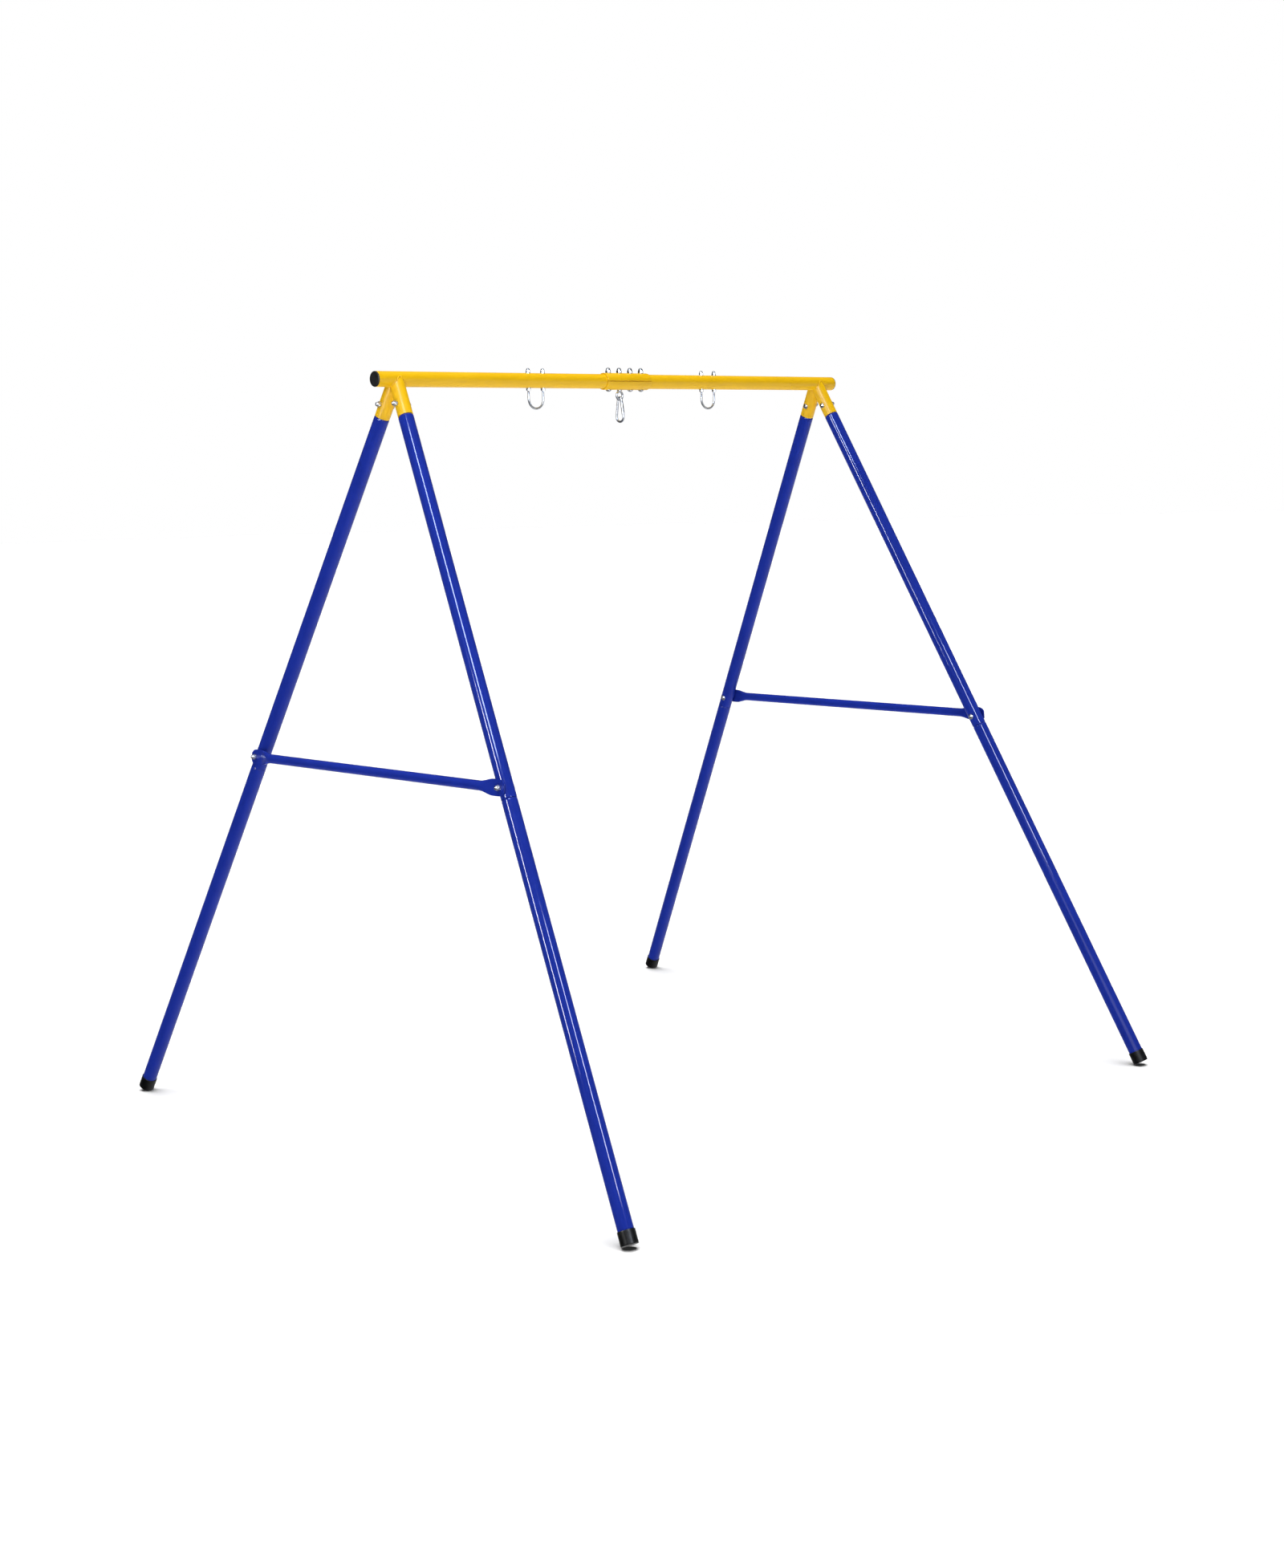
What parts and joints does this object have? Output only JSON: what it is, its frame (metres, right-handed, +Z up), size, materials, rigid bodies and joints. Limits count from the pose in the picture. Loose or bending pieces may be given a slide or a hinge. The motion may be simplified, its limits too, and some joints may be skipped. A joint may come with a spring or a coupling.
{
  "type": "swing set",
  "caption": "A-frame swing stand: tubular beam in a clamping sleeve, splayed two-piece legs with cross braces, U-bolt hangers and a snap hook on an eyebolt.",
  "frame": {"origin": "on the floor, under the middle of the beam", "axes": "+X along the beam, +Y across it towards the rear legs, +Z up"},
  "size_m": [2.0188, 1.977, 1.9461],
  "materials": {
    "yellow_paint": "gloss yellow powder coat",
    "blue_paint": "gloss blue powder coat",
    "black_plastic": "moulded black plastic",
    "black_rubber": "moulded black rubber with vertical flutes",
    "zinc_plate": "bright zinc plate",
    "spring_steel": "drawn spring wire"
  },
  "bodies": {
    "frame": {"beam_left_half": "yellow_paint", "beam_right_half": "yellow_paint", "brace_bolts": "zinc_plate", "brace_left": "blue_paint", "brace_nuts": "zinc_plate", "brace_right": "blue_paint", "end_cap_left": "black_plastic", "end_cap_right": "black_plastic", "foot_cap_left_front": "black_rubber", "foot_cap_left_rear": "black_rubber", "foot_cap_right_front": "black_rubber", "foot_cap_right_rear": "black_rubber", "hook_eyebolt": "zinc_plate", "lower_leg_left_front": "blue_paint", "lower_leg_left_rear": "blue_paint", "lower_leg_right_front": "blue_paint", "lower_leg_right_rear": "blue_paint", "sleeve_bolts": "zinc_plate", "sleeve_lower_shell": "yellow_paint", "sleeve_nuts": "zinc_plate", "sleeve_upper_shell": "yellow_paint", "socket_bolts": "zinc_plate", "socket_nuts": "zinc_plate", "u_bolt_cap_nuts": "zinc_plate", "u_bolt_left": "zinc_plate", "u_bolt_lower_nuts": "zinc_plate", "u_bolt_right": "zinc_plate", "u_bolt_washers": "zinc_plate", "upper_leg_left_front": "blue_paint", "upper_leg_left_rear": "blue_paint", "upper_leg_right_front": "blue_paint", "upper_leg_right_rear": "blue_paint"},
    "snap_hook": {"snap_hook_body": "zinc_plate", "snap_hook_pin": "zinc_plate"},
    "gate": {"snap_hook_gate": "zinc_plate", "snap_hook_spring": "spring_steel"}
  },
  "joints": [
    {"name": "hook_swing", "type": "hinge", "parent": "frame", "child": "snap_hook", "pos_m": [-0.02, 0, 1.86215], "axis": [1, 0, 0], "range_deg": [-75, 75]},
    {"name": "gate_hinge", "type": "hinge", "parent": "snap_hook", "child": "gate", "pos_m": [-0.02, -0.00737, 1.85419], "axis": [1, 0, 0], "range_deg": [0, 25], "stiffness_Nm_per_rad": 0.05, "springref_deg": -17.19}
  ]
}
